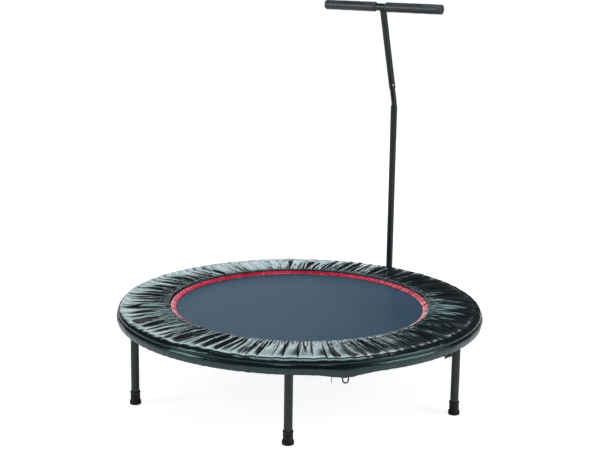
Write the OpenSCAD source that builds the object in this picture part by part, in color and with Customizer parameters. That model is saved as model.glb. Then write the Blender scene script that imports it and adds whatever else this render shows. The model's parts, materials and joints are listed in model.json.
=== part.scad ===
// Mini trampoline with a T-handle, in millimetres.
// The origin is on the floor under the centre of the round frame, +Z is up, and the handle stands at +Y.

/* [Frame] */
// Radius of the frame ring's centreline
ring_r = 490; // [400:1:600]
// Diameter of the frame ring's tube
ring_d = 28; // [24:0.5:34]
// Height of the ring's centreline above the floor
ring_z = 205; // [170:1:300]
// Wall of the ring, leg and handle tubes
tube_wall = 1.5; // [1:0.1:2]

/* [Legs] */
// Number of legs
leg_count = 6; // [6]
// Diameter of a leg
leg_d = 22; // [18:0.5:25]
// Length of the welded socket that each leg screws into, below the ring's centreline
socket_drop = 39; // [32:1:50]
// Diameter of the threaded stud on a leg
stud_d = 10; // [8:0.5:12]
// Diameter of a rubber foot at its base
foot_d = 30.6; // [28:0.2:38]
// Height of a rubber foot
foot_h = 36.5; // [28:0.5:50]
// Thickness of rubber under a leg
foot_sole = 8; // [4:0.5:12]

/* [Jumping mat] */
// Radius of the woven mat
mat_r = 378; // [290:1:480]
// Thickness of the woven mat
mat_t = 1.5; // [1:0.1:3]
// Height of the mat's top face above the ring's centreline
mat_rise = 8.5; // [7:0.1:12]
// Width of the padded border band on the mat
border_w = 33; // [20:1:50]
// Height of the border band's padded crest
border_t = 8; // [6:0.1:10]
// Height of the border band under the cover's hem
border_low = 5.4; // [3:0.1:6]

/* [Springs] */
// Number of springs
spring_count = 36; // [24:1:48]
// Outside diameter of a spring
spring_d = 9.5; // [7:0.5:11]
// Wire of a spring
spring_wire = 2.2; // [1.6:0.1:2.6]
// Wire of the V-rings that the springs hook into
ring_wire = 3; // [2.4:0.1:3.6]
// Width of a webbing tab
tab_w = 12; // [10:0.5:16]

/* [Padded cover] */
// Overhang of the cover past the ring's centreline
cover_over = 20; // [19.5:0.5:26]
// Crest of the cover above the ring's centreline
cover_crest = 21.6; // [20:0.1:28]
// Thickness of the vinyl
vinyl_t = 1.2; // [0.8:0.1:2]
// Overlap of the cover's inner hem on the mat's border band
hem_lap = 12; // [6:0.5:18]
// Diameter of the elastic and of the draw cord in the hems
cord_d = 3; // [2:0.2:3.6]

/* [Handle] */
// Gap between the handle pole and the ring's tube
pole_gap = 1; // [0.6:0.1:16]
// Diameter of the lower pole
pole_d = 20; // [18:0.5:24]
// Height of the lower pole's bottom end above the floor
pole_low = 20; // [10:1:40]
// Height of the bend in the pole
bend_z = 735.6; // [500:1:900]
// Lean of the upper handle towards the user
lean = 16.57; // [0.5:0.5:30]
// Distance from the bend to the cross bar
stem_l = 305.7; // [200:1:450]
// Length of the elbow tube that shows between the bend and the T-bar
elbow_show = 50; // [30:1:80]
// Wall of the elbow tube and the T-bar's stem
slim_wall = 1.2; // [0.8:0.1:1.4]
// Diameter of the cross bar's tube
bar_d = 22; // [20:0.5:25]
// Half of the cross bar's length
bar_half = 191; // [150:1:300]
// Diameter of a foam grip
grip_d = 29; // [26:0.5:36]
// Inner end of the left grip, from the middle of the bar
grip_gap_left = 22; // [12:1:40]
// Inner end of the right grip, from the middle of the bar
grip_gap_right = 11; // [10.5:0.5:40]
// Diameter of the snap button
button_d = 6; // [4:0.2:7]
// Travel of the handle in its bracket
height_travel = 100; // [60:1:102]

/* [Clamp bracket] */
// Length of the bracket's sleeve
sleeve_l = 61; // [50:1:80]
// Wall of the bracket's sleeve
sleeve_wall = 1.7; // [1.2:0.1:1.9]
// Thickness of the lug and of the bracket's flange
plate_t = 5.5; // [4:0.1:6]
// Diameter of the bracket's bolts and of the clamp screw
bolt_d = 8; // [6:0.5:8]
// Diameter of the clamp knob
knob_d = 34; // [28:1:42]

/* [Clearances] */
// Radial clearance of a tube that slides in another
slide_gap = 0.3; // [0.2:0.05:0.5]
// Radial clearance of a tube that is fixed in another
fixed_gap = 0.2; // [0.1:0.05:0.3]
// Radial clearance of a bolt or stud in its hole
bolt_gap = 0.2; // [0.1:0.05:0.4]
// Radial clearance of the snap button in its holes
button_gap = 0.3; // [0.2:0.05:0.5]

/* [Hidden] */
$fn = 64;

// Frame and legs
tube_r = ring_d / 2;
bore_r = tube_r - tube_wall;
leg_r = leg_d / 2;
leg_step = 360 / leg_count;
socket_z = ring_z - socket_drop;
plug_h = 16;
stud_r = stud_d / 2;
stud_up = 17.5;
sole_ribs = 3;
sleeve_rubber = 1.8;
foot_bead = 2.4;

// Mat, tabs, V-rings and springs, all hooked in one plane
mat_z = ring_z + mat_rise - mat_t;
hook_z = ring_z + 3;
wire_r = ring_wire / 2;
tab_l = 18;
tab_gap = 0.3;
tab_end = 1;
bar_r = mat_r + 2;
v_depth = 11;
v_half = tab_w / 2 + 5.6;
corner_r = wire_r + 0.15;
spring_step = 360 / spring_count;
coil_r = spring_d / 2;
spring_in = bar_r + v_depth + 7;
spring_out = ring_r - tube_r - 14;
hook_r = spring_wire / 2;
hook_hole_r = hook_r + 0.6;
hook_start = bar_r + v_depth + corner_r + 0.5;
hook_end = ring_r - bore_r + 1.5;

// Cover and foam: the rim is an ellipse about the ring's centreline
hem_r = mat_r - hem_lap;
seam_press = 0.3;
seam_gap = 0.2;
hem_gap = 0.4;
cord_r = cord_d / 2;
tunnel_r = cord_r + 0.3;
bead_r = tunnel_r + 0.9;
border_z = mat_z + mat_t - seam_press;
hem_z = border_z + border_low + bead_r + hem_gap;
border_in = mat_r - border_w;
crest_r = hem_r - bead_r - 2.5;
wall_mid = (tunnel_r + bead_r) / 2;
skirt_end = -25;
rim_step = 11.5;
skirt_drop = 19.5;
foam_gap = 0.3;
foam_in = mat_r + 6;
foam_low = hook_z + coil_r + 1.6;
foam_wrap = -20;
foam_turn = 135;
skirt_tuck = min(5.1, cover_over - leg_r - bead_r - 1);
skirt_bead = [ring_r + cover_over - skirt_tuck, ring_z - skirt_drop + bead_r];
loop_angle = 316;
loop_half = 5;
loop_drop = 17;
loop_r = cord_r - 0.15;
notch_half = 17;
fine = 112;
notch_in = ring_r + tube_r - 0.5;

// Handle
pole_r = pole_d / 2;
pole_y = ring_r + tube_r + pole_gap + pole_r;
bend_r = 45;
bend_run = bend_r * tan(lean / 2);
elbow_r = pole_r - tube_wall - fixed_gap;
elbow_bore = elbow_r - slim_wall;
elbow_in_pole = 90;
bend_swell = 0.02;
bend_lap = 0.5;
elbow_in_stem = 100;
pole_top = bend_z - bend_run - 1;
stem_bore = elbow_r + fixed_gap + 0.05;
stem_r = stem_bore + slim_wall;
bar_rad = bar_d / 2;
grip_r = grip_d / 2;
grip_fit = 0.15;
grip_end = 2.3;
plug_flange = 2;
plug_in = 15;
button_s = elbow_show + 12;
button_face = -45;
button_r = button_d / 2;
button_out = 2.6;
button_foot = 4.4;
button_flange_t = 1.2;
button_flange_r = button_r + 0.9;
clip_t = 0.7;
clip_w = 5;
clip_back = -6.2;
clip_up = 5;
clip_down = 16;
screw_r = 2.5;
screw_s = 34;
screw_head_r = 4.5;
screw_head_t = 1.9;
pin_r = 2;
pin_half = 13;

// Bracket
sleeve_top = ring_z - tube_r - 8;
sleeve_low = sleeve_top - sleeve_l;
sleeve_bore = pole_r + slide_gap;
sleeve_r = sleeve_bore + sleeve_wall;
lug_half = 25;
lug_y = ring_r - plate_t / 2;
flange_y = lug_y + plate_t;
web_half = 6;
clamp_z = (sleeve_top + sleeve_low) / 2;
bolt_r = bolt_d / 2;
bolt_x = 17;
bolt_head_h = 5.3;
bolt_across = 1.625 * bolt_d;
nut_h = 6.5;
knob_t = 22;
knob_space = 9;
knob_y = lug_y - knob_space - knob_t;
screw_tip_gap = 0.3;
knob_lobes = 6;

function ring_arc(from, to, step, h, v) =
    [for (a = [from:(to > from ? step : -step):to]) [ring_r + h * cos(a), ring_z + v * sin(a)]];

// Puts one copy of its children at each leg
module at_legs() {
    for (i = [0:leg_count - 1]) rotate([0, 0, i * leg_step]) translate([ring_r, 0, 0]) children();
}

// Puts one copy of its children along each spring's line
module at_springs() {
    for (i = [0:spring_count - 1]) rotate([0, 0, (i + 0.5) * spring_step]) children();
}

// A cylinder along +X from one distance to another
module rod_x(from, to, r) {
    translate([from, 0, 0]) rotate([0, 90, 0]) cylinder(h = to - from, r = r);
}

// A cylinder along +Y from one distance to another
module rod_y(from, to, r) {
    translate([0, from, 0]) rotate([-90, 0, 0]) cylinder(h = to - from, r = r);
}

// Turns local Z to the handle's upper direction, with its origin in the bend
module lean_frame() {
    translate([0, pole_y, bend_z]) rotate([lean, 0, 0]) children();
}

// Turns local X to the way the snap button points
module button_frame() {
    lean_frame() translate([0, 0, button_s]) rotate([0, 0, button_face]) children();
}

module frame_ring() {
    color([0.16, 0.17, 0.18]) difference() {
        union() {
            rotate_extrude() translate([ring_r, ring_z]) circle(r = tube_r);
            at_legs() translate([0, 0, socket_z]) cylinder(h = socket_drop - tube_r + tube_wall, r = leg_r);
            translate([-lug_half, lug_y, sleeve_low])
                cube([2 * lug_half, plate_t, ring_z - tube_r + tube_wall - sleeve_low]);
        }
        rotate_extrude() translate([ring_r, ring_z]) circle(r = bore_r);
        at_legs() translate([0, 0, socket_z - 1]) cylinder(h = stud_up + 1.5, r = stud_r + bolt_gap);
        at_springs() translate([0, 0, hook_z]) rod_x(ring_r - tube_r - 1, hook_end + 1, hook_hole_r);
        for (x = [-bolt_x, 0, bolt_x])
            translate([x, 0, clamp_z]) rod_y(lug_y - 1, lug_y + plate_t + 1, bolt_r + bolt_gap);
    }
}

module leg(i) {
    color([0.16, 0.17, 0.18]) rotate([0, 0, (i - 1) * leg_step]) translate([ring_r, 0, foot_sole])
        difference() {
            cylinder(h = socket_z - foot_sole, r = leg_r);
            translate([0, 0, -1]) cylinder(h = socket_z - foot_sole + 2, r = leg_r - tube_wall);
        }
}

module foot(i) {
    base_r = foot_d / 2;
    base_h = foot_sole + 2;
    rib = 0.8;
    sleeve = leg_r + sleeve_rubber;
    ribs = [for (k = [0:sole_ribs - 1]) let (z = base_h * k / sole_ribs, dz = base_h / sole_ribs)
        each [[base_r, z], [base_r, z + dz * 0.6], [base_r - rib, z + dz * 0.7], [base_r - rib, z + dz]]];
    color([0.08, 0.08, 0.09]) rotate([0, 0, (i - 1) * leg_step]) translate([ring_r, 0, 0])
        rotate_extrude() polygon(concat([[0, 0]], ribs,
            [[sleeve, base_h + 1.5], [sleeve, foot_h - foot_bead - 0.6],
             [sleeve + 0.7, foot_h - foot_bead], [sleeve + 0.7, foot_h - 0.5], [sleeve, foot_h],
             [leg_r + bolt_gap, foot_h], [leg_r + bolt_gap, foot_sole], [0, foot_sole]]));
}

module leg_plugs() {
    color("gray") at_legs() translate([0, 0, socket_z - plug_h]) difference() {
        cylinder(h = plug_h, r = leg_r - tube_wall - 0.1);
        translate([0, 0, -1]) cylinder(h = plug_h + 2, r = stud_r + bolt_gap);
    }
}

module leg_studs() {
    color("silver") at_legs() translate([0, 0, socket_z - plug_h]) cylinder(h = plug_h + stud_up, r = stud_r);
}

// The mat's edge is pressed thinner where the border is sewn on, so the open face is a plain disc
module jump_mat() {
    color([0.25, 0.30, 0.34]) translate([0, 0, mat_z]) {
        cylinder(h = mat_t - seam_press, r = mat_r);
        cylinder(h = mat_t, r = border_in);
    }
}

// A padded band: it rises from the mat to a crest beside the cover's hem, and runs on under the hem
module mat_border() {
    color([0.78, 0.2, 0.31]) translate([0, 0, border_z]) rotate_extrude() polygon([
        [border_in + seam_gap, 0], [border_in + seam_gap, 1], [border_in + 2, 2.4],
        [crest_r - 5, border_t - 1.2], [crest_r - 1, border_t], [crest_r + 0.6, border_t - 0.4],
        [crest_r + 2.2, border_low], [mat_r - 4, border_low], [mat_r, border_low - 2.4], [mat_r, 0]]);
}

module mat_tabs() {
    low = hook_z - wire_r - 1.4;
    color([0.1, 0.1, 0.11]) at_springs() difference() {
        translate([bar_r + wire_r + tab_gap + tab_end - tab_l, -tab_w / 2, low]) cube([tab_l, tab_w, mat_z - low]);
        translate([bar_r, 0, hook_z]) rod_y(-tab_w, tab_w, wire_r + tab_gap);
    }
}

module v_rings() {
    arm = sqrt(pow(v_depth, 2) + pow(v_half, 2));
    color("silver") at_springs() translate([bar_r, 0, hook_z]) {
        rod_y(-v_half, v_half, wire_r);
        for (side = [-1, 1]) translate([0, side * v_half, 0]) {
            sphere(r = corner_r);
            rotate([0, 0, -side * atan2(v_half, v_depth)]) rod_x(0, arm, wire_r);
        }
        translate([v_depth, 0, 0]) sphere(r = corner_r);
    }
}

module springs() {
    color("silver") at_springs() translate([0, 0, hook_z]) {
        rod_x(spring_in, spring_out, coil_r);
        rod_x(hook_start, spring_in + 1, hook_r);
        rod_x(spring_out - 1, hook_end, hook_r);
    }
}

// A notch in the cover and foam that lets the handle pole through
module pole_notch() {
    translate([-notch_half, notch_in, ring_z - cover_crest - 5])
        cube([2 * notch_half, cover_over + 10, 2 * cover_crest + 10]);
}

module pad_cover() {
    outer = ring_arc(90, skirt_end, rim_step, cover_over, cover_crest);
    inner = ring_arc(skirt_end, 90, rim_step, cover_over - vinyl_t, cover_crest - vinyl_t);
    start = hem_r + wall_mid;
    end = skirt_bead + [0, wall_mid];
    half = vinyl_t / 2;
    color([0.05, 0.06, 0.07]) difference() {
        union() {
            rotate_extrude($fn = fine) polygon(concat([[start, hem_z + half]], outer, [end + [half, 0], end - [half, 0]],
                inner, [[start, hem_z - half]]));
            for (bead = [[hem_r, hem_z], skirt_bead]) rotate_extrude($fn = fine) translate(bead) difference() {
                circle(r = bead_r);
                circle(r = tunnel_r);
            }
        }
        pole_notch();
        rotate([0, 0, loop_angle])
            translate([skirt_bead[0] - bead_r - 1, -loop_half - 4, skirt_bead[1] - 2 * bead_r])
                cube([2 * bead_r + 2, 2 * loop_half + 8, 2 * bead_r - cord_r / 4]);
    }
}

module foam_ring() {
    over = cover_over - vinyl_t - foam_gap;
    crest = cover_crest - vinyl_t - foam_gap;
    ring_clear = tube_r + foam_gap;
    slope = (cover_crest - (hem_z + vinyl_t / 2 - ring_z)) / (ring_r - hem_r - wall_mid);
    color([0.85, 0.84, 0.8]) difference() {
        rotate_extrude($fn = fine) polygon(concat(
            [[foam_in, ring_z + crest - slope * (ring_r - foam_in)]],
            ring_arc(90, foam_wrap, 11, over, crest),
            ring_arc(foam_wrap, foam_turn, 5, ring_clear, ring_clear),
            [[foam_in, foam_low]]));
        pole_notch();
    }
}

module hem_elastic() {
    color("white") rotate_extrude() translate([hem_r, hem_z]) circle(r = cord_r);
}

module drawcord() {
    notch = asin(notch_half / skirt_bead[0]);
    color([0.1, 0.1, 0.1]) {
        rotate([0, 0, 90 + notch]) rotate_extrude(angle = 360 - 2 * notch) translate(skirt_bead) circle(r = cord_r);
        rotate([0, 0, loop_angle]) translate([skirt_bead[0], 0, skirt_bead[1]]) {
            for (side = [-1, 1]) translate([0, side * loop_half, -loop_drop]) cylinder(h = loop_drop, r = loop_r);
            translate([0, 0, -loop_drop]) rotate([-90, 0, 90])
                rotate_extrude(angle = 180) translate([loop_half, 0]) circle(r = loop_r);
        }
    }
}

module pole_bracket() {
    color([0.16, 0.17, 0.18]) difference() {
        union() {
            translate([0, pole_y, sleeve_low]) cylinder(h = sleeve_l, r = sleeve_r);
            translate([-lug_half, flange_y, sleeve_low]) cube([2 * lug_half, plate_t, sleeve_l]);
            translate([-web_half, flange_y, sleeve_low])
                cube([2 * web_half, pole_y - sleeve_bore - flange_y, sleeve_l]);
        }
        translate([0, pole_y, sleeve_low - 1]) cylinder(h = sleeve_l + 2, r = sleeve_bore);
        for (x = [-bolt_x, bolt_x])
            translate([x, 0, clamp_z]) rod_y(flange_y - 1, flange_y + plate_t + 1, bolt_r + bolt_gap);
        translate([0, 0, clamp_z]) rod_y(flange_y - 1, pole_y - pole_r, bolt_r + bolt_gap);
    }
}

module bracket_bolts() {
    color("silver") for (x = [-bolt_x, bolt_x]) translate([x, 0, clamp_z]) {
        rod_y(lug_y - 1, flange_y + plate_t + nut_h + 1.5, bolt_r);
        translate([0, lug_y - bolt_head_h, 0]) rotate([-90, 0, 0])
            cylinder(h = bolt_head_h, r = bolt_across / 2 / cos(30), $fn = 6);
    }
}

module bracket_nuts() {
    color("silver") for (x = [-bolt_x, bolt_x]) translate([x, flange_y + plate_t, clamp_z]) rotate([-90, 0, 0])
        difference() {
            cylinder(h = nut_h, r = bolt_across / 2 / cos(30), $fn = 6);
            translate([0, 0, -1]) cylinder(h = nut_h + 2, r = bolt_r + bolt_gap / 2);
        }
}

module clamp_knob() {
    core_r = knob_d / 2 - 3;
    boss_h = 5;
    color([0.08, 0.08, 0.09]) translate([0, knob_y, clamp_z]) rotate([-90, 0, 0]) difference() {
        union() {
            cylinder(h = knob_t - boss_h, r = core_r);
            cylinder(h = knob_t, r = bolt_d);
            for (i = [0:knob_lobes - 1]) rotate([0, 0, i * 360 / knob_lobes])
                translate([core_r - 1, 0, 0]) cylinder(h = knob_t - boss_h, r = 4);
        }
        translate([0, 0, knob_t / 2]) cylinder(h = knob_t, r = bolt_r + bolt_gap / 2);
    }
}

module clamp_screw() {
    color("silver") translate([0, 0, clamp_z])
        rod_y(knob_y + knob_t / 2, pole_y - pole_r - screw_tip_gap, bolt_r);
}

module lower_pole() {
    color([0.16, 0.17, 0.18]) translate([0, pole_y, 0]) difference() {
        translate([0, 0, pole_low]) cylinder(h = pole_top - pole_low, r = pole_r);
        translate([0, 0, pole_low - 1]) cylinder(h = pole_top - pole_low + 2, r = pole_r - tube_wall);
        translate([0, 0, sleeve_top + pin_r + slide_gap]) rod_x(-pole_r - 1, pole_r + 1, pin_r + 0.1);
        translate([0, 0, pole_top - screw_s]) rod_y(0, pole_r + 1, screw_r + bolt_gap / 2);
    }
}

module pole_plug() {
    color([0.08, 0.08, 0.09]) translate([0, pole_y, pole_low]) {
        cylinder(h = plug_in, r = pole_r - tube_wall - 0.1);
        translate([0, 0, -plug_flange]) cylinder(h = plug_flange, r = pole_r);
    }
}

module stop_pin() {
    color("silver") translate([0, pole_y, sleeve_top + pin_r + slide_gap]) rod_x(-pin_half, pin_half, pin_r);
}

module joint_screw() {
    color("silver") translate([0, pole_y, pole_top - screw_s]) {
        rod_y(elbow_bore - 2, pole_r + 0.5, screw_r);
        rod_y(pole_r, pole_r + screw_head_t, screw_head_r);
    }
}

// The elbow's outline at one radius, run on by extra at both ends; its bend is a hair fatter
module elbow_path(r, extra) {
    translate([0, pole_y, pole_top - elbow_in_pole - extra])
        cylinder(h = bend_z - bend_run - pole_top + elbow_in_pole + bend_lap + extra, r = r);
    translate([0, pole_y - bend_r, bend_z - bend_run]) rotate([90, 0, 90])
        rotate_extrude(angle = lean) translate([bend_r, 0]) circle(r = r + bend_swell);
    lean_frame() translate([0, 0, bend_run - bend_lap])
        cylinder(h = elbow_show + elbow_in_stem - bend_run + bend_lap + extra, r = r);
}

module elbow_tube() {
    color([0.16, 0.17, 0.18]) difference() {
        elbow_path(elbow_r, 0);
        elbow_path(elbow_bore, 1);
        button_frame() rod_x(0, elbow_r + 1, button_r + button_gap);
        translate([0, pole_y, pole_top - screw_s]) rod_y(0, elbow_r + 1, screw_r + bolt_gap / 2);
    }
}

module t_bar() {
    color([0.16, 0.17, 0.18]) difference() {
        lean_frame() union() {
            translate([0, 0, elbow_show]) cylinder(h = stem_l - elbow_show, r = stem_r);
            translate([0, 0, stem_l]) rod_x(-bar_half, bar_half, bar_rad);
        }
        lean_frame() {
            translate([0, 0, elbow_show - 1]) cylinder(h = stem_l - elbow_show - bar_rad, r = stem_bore);
            translate([0, 0, stem_l]) rod_x(-bar_half - 1, bar_half + 1, bar_rad - tube_wall);
        }
        button_frame() rod_x(0, stem_r + 1, button_r + button_gap);
    }
}

module bar_plugs() {
    color([0.08, 0.08, 0.09]) lean_frame() translate([0, 0, stem_l]) for (side = [0, 180])
        rotate([0, 0, side]) {
            rod_x(bar_half - plug_in, bar_half + 0.5, bar_rad - tube_wall - 0.1);
            rod_x(bar_half, bar_half + plug_flange, bar_rad);
        }
}

// One foam grip along +X, from its inner end to its closed outer end
module grip_body(inner_end) {
    closed = bar_half + plug_flange + foam_gap;
    difference() {
        rod_x(inner_end, closed + grip_end, grip_r);
        rod_x(inner_end - 1, closed, bar_rad + grip_fit);
    }
}

module grip_left() {
    color([0.25, 0.27, 0.29]) lean_frame() translate([0, 0, stem_l]) rotate([0, 0, 180]) grip_body(grip_gap_left);
}

module grip_right() {
    color([0.25, 0.27, 0.29]) lean_frame() translate([0, 0, stem_l]) grip_body(grip_gap_right);
}

module snap_button() {
    tip = stem_r + button_out;
    color([0.8, 0.8, 0.78]) button_frame() rotate([0, 90, 0]) rotate_extrude() polygon([
        [0, button_foot], [button_flange_r, button_foot],
        [button_flange_r, button_foot + button_flange_t], [button_r, button_foot + button_flange_t],
        [button_r, tip - 1.2], [button_r - 0.5, tip - 0.4], [button_r - 1.4, tip], [0, tip]]);
}

module button_clip() {
    front = button_foot - clip_t - 0.1;
    color("silver") button_frame() translate([0, clip_w / 2, 0]) rotate([90, 0, 0])
        linear_extrude(height = clip_w) {
            translate([front, -clip_down]) square([clip_t, clip_down + clip_up]);
            translate([clip_back, -clip_down]) square([clip_t, clip_down + clip_up]);
            translate([clip_back, -clip_down]) square([front - clip_back + clip_t, clip_t]);
        }
}

frame_ring();
for (i = [1:leg_count]) leg(i);
for (i = [1:leg_count]) foot(i);
leg_plugs();
leg_studs();
jump_mat();
mat_border();
mat_tabs();
v_rings();
springs();
pad_cover();
foam_ring();
hem_elastic();
drawcord();
pole_bracket();
bracket_bolts();
bracket_nuts();
clamp_knob();
clamp_screw();
lower_pole();
pole_plug();
stop_pin();
joint_screw();
elbow_tube();
t_bar();
bar_plugs();
grip_left();
grip_right();
snap_button();
button_clip();
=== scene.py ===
# %% [markdown]
# # A mini trampoline with a T-handle
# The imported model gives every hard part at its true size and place. This script dresses it: it loads that
# model as a fixed frame, makes the soft parts and the finer metal work as surfaces worked out with numpy,
# and gives each piece a procedural finish. All lengths are in metres, +Z is up, and the handle is at +Y.

# %% Load the frame
import json
import math

import bpy
import numpy as np
from mathutils import Matrix, Vector


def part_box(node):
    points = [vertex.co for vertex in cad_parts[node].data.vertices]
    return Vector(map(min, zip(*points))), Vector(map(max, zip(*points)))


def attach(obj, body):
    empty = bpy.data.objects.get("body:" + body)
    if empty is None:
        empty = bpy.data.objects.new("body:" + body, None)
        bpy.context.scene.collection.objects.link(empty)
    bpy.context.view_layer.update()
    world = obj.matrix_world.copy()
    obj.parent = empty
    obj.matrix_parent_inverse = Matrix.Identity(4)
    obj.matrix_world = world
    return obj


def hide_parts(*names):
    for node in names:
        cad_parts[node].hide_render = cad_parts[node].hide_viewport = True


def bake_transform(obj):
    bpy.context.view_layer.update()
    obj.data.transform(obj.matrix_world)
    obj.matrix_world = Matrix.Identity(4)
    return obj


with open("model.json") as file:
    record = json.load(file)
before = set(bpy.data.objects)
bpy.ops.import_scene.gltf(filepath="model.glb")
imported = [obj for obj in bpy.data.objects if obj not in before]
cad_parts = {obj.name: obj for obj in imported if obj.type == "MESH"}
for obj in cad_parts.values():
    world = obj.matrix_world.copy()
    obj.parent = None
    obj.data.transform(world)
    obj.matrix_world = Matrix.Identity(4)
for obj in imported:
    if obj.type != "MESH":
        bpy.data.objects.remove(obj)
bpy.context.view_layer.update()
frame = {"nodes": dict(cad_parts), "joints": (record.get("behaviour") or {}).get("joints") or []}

# %% [markdown]
# Every driving size is read off the frame, so that the look follows the model. A leg stands under the ring's
# centreline, so leg 1 gives the ring's radius, and the hem's elastic gives the opening of the cover.

# %% Sizes from the frame


def low_high(node):
    """A node's two corners as numpy arrays."""
    low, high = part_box(node)
    return np.array(low, float), np.array(high, float)


leg_low, leg_high = low_high("leg_1")
RING_R = float(leg_low[0] + leg_high[0]) / 2
LEG_R = float(leg_high[0] - leg_low[0]) / 2
TUBE_R = float(low_high("frame_ring")[1][0]) - RING_R
RING_Z = float(low_high("frame_ring")[1][2]) - TUBE_R
elastic_low, elastic_high = low_high("hem_elastic")
ELASTIC_R = float(elastic_high[2] - elastic_low[2]) / 2
HEM_R = float(elastic_high[0]) - ELASTIC_R
HEM_Z = float(elastic_high[2] + elastic_low[2]) / 2
cover_low, cover_high = low_high("pad_cover")
COVER_R = float(cover_high[0])
CREST_Z = float(cover_high[2])
SKIRT_Z = float(cover_low[2])
mat_low, mat_high = low_high("jump_mat")
MAT_R = float(mat_high[0])
MAT_TOP = float(mat_high[2])
border_high = low_high("mat_border")[1]
spring_low, spring_high = low_high("springs")
HOOK_Z = float(spring_low[2] + spring_high[2]) / 2
COIL_R = float(spring_high[2] - spring_low[2]) / 2
SPRINGS, LEGS = 36, 6
pole_low, pole_high = low_high("lower_pole")
POLE_Y = float(pole_low[1] + pole_high[1]) / 2
FULL_TURN = 2 * np.pi
print("ring", RING_R, TUBE_R, RING_Z, "hem", HEM_R, HEM_Z, "pole", POLE_Y)

# %% [markdown]
# A surface here is always a grid of points: one direction of the array runs round the piece and the other
# along it. One helper turns any such grid into a mesh, closes it where it should close, and shades it
# smooth. Rows of several copies can share one mesh, which keeps the list of pieces short.

# %% Helpers for grids, lathes and tubes


def grid_faces(rows, cols, close_rows, close_cols):
    """Quads of a rows by cols grid of points, wrapped round where a direction is closed."""
    i = np.arange(rows if close_rows else rows - 1)[:, None]
    j = np.arange(cols if close_cols else cols - 1)[None, :]
    i2, j2 = (i + 1) % rows, (j + 1) % cols
    corners = [i * cols + j, i2 * cols + j, i2 * cols + j2, i * cols + j2]
    return np.stack([np.broadcast_to(c, (i.size, j.size)) for c in corners], axis=-1).reshape(-1, 4)


def make_piece(name, points, faces, sharp=None):
    """A smooth mesh object from an (n, 3) array of points and an array of faces with one face a row."""
    mesh = bpy.data.meshes.new(name)
    mesh.vertices.add(len(points))
    mesh.vertices.foreach_set("co", np.ascontiguousarray(points, np.float32).ravel())
    mesh.loops.add(faces.size)
    mesh.loops.foreach_set("vertex_index", np.ascontiguousarray(faces, np.int32).ravel())
    mesh.polygons.add(len(faces))
    mesh.polygons.foreach_set("loop_start", np.arange(0, faces.size, faces.shape[1], dtype=np.int32))
    mesh.polygons.foreach_set("use_smooth", np.ones(len(faces), bool))
    mesh.update(calc_edges=True)
    mesh.validate()
    if sharp is not None:
        mesh.set_sharp_from_angle(angle=math.radians(sharp))
    piece = bpy.data.objects.new(name, mesh)
    bpy.context.scene.collection.objects.link(piece)
    return piece


def join_grids(grids):
    """One set of points and quads from a list of (points, faces) pairs."""
    starts = np.cumsum([0] + [len(p) for p, _ in grids[:-1]])
    return np.concatenate([p for p, _ in grids]), np.concatenate([f + s for (_, f), s in zip(grids, starts)])


def lathe(profile, steps=96):
    """Points (r, z) of a closed outline, turned about Z, as a closed grid that faces outwards."""
    turn = np.linspace(0, FULL_TURN, steps, endpoint=False)[:, None]
    r, z = profile[None, :, 0], profile[None, :, 1]
    points = np.stack([r * np.cos(turn), r * np.sin(turn), z + 0 * turn], axis=-1).reshape(-1, 3)
    return points, grid_faces(steps, len(profile), True, True)


def tube(path, up, radius, sides=8, closed=False):
    """A round tube along an (n, 3) path: each ring stands square to the path, turned from up."""
    path = np.asarray(path, float)
    ahead = np.roll(path, -1, 0) if closed else np.vstack([path[1:], 2 * path[-1] - path[-2]])
    behind = np.roll(path, 1, 0) if closed else np.vstack([2 * path[0] - path[1], path[:-1]])
    along = ahead - behind
    along /= np.linalg.norm(along, axis=1, keepdims=True)
    side = np.broadcast_to(np.asarray(up, float), path.shape).copy()
    side -= (side * along).sum(1, keepdims=True) * along
    side /= np.linalg.norm(side, axis=1, keepdims=True)
    across = np.cross(along, side)
    turn = np.linspace(0, FULL_TURN, sides, endpoint=False)[None, :, None]
    size = np.broadcast_to(np.asarray(radius, float), (len(path),))[:, None, None]
    rings = path[:, None] + size * (np.cos(turn) * side[:, None] + np.sin(turn) * across[:, None])
    if not closed:
        rings = np.concatenate([path[:1, None] + 0 * rings[:1], rings, path[-1:, None] + 0 * rings[:1]])
    return rings.reshape(-1, 3), grid_faces(len(rings), sides, closed, True)[:, ::-1]


def capped(rings):
    """Rings of points with one more ring at each end, shrunk to the end's middle, which closes the tube."""
    first, last = rings[:1], rings[-1:]
    start, end = (ring.mean(1, keepdims=True) + 0 * ring for ring in (first, last))
    return np.concatenate([start, rings, end])


def turned(points, angle):
    """Points turned about Z by an angle in radians."""
    c, s = math.cos(angle), math.sin(angle)
    return points @ np.array([[c, s, 0], [-s, c, 0], [0, 0, 1]])


def smooth_step(x, start, end):
    """0 before start, 1 after end, and an even S between them."""
    t = np.clip((x - start) / (end - start), 0, 1)
    return t * t * (3 - 2 * t)


def ring_noise(theta, first, last, seed):
    """An uneven wave round the ring, from about -1 to 1: a sum of cosines, each a whole number of waves
    round the ring, from first to last, with a chance phase and weight."""
    rng = np.random.default_rng(seed)
    waves = np.arange(first, last + 1)
    phase, weight = rng.uniform(0, FULL_TURN, len(waves)), rng.uniform(0.4, 1, len(waves))
    total = sum(w * np.cos(k * theta + p) for k, p, w in zip(waves, phase, weight))
    return total / (1.6 * np.sqrt((weight ** 2).sum() / 2))


def smooth_path(profile, count, crowd=0.0):
    """A polyline resampled to count points along it: evenly, or crowded towards both ends."""
    step = np.hypot(*np.diff(profile, axis=0).T)
    s = np.concatenate([[0], np.cumsum(step)])
    t = np.linspace(0, 1, count)
    even = s[-1] * ((1 - crowd) * t + crowd * (0.5 - 0.5 * np.cos(np.pi * t)))
    return np.stack([np.interp(even, s, profile[:, 0]), np.interp(even, s, profile[:, 1])], axis=-1)


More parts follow.
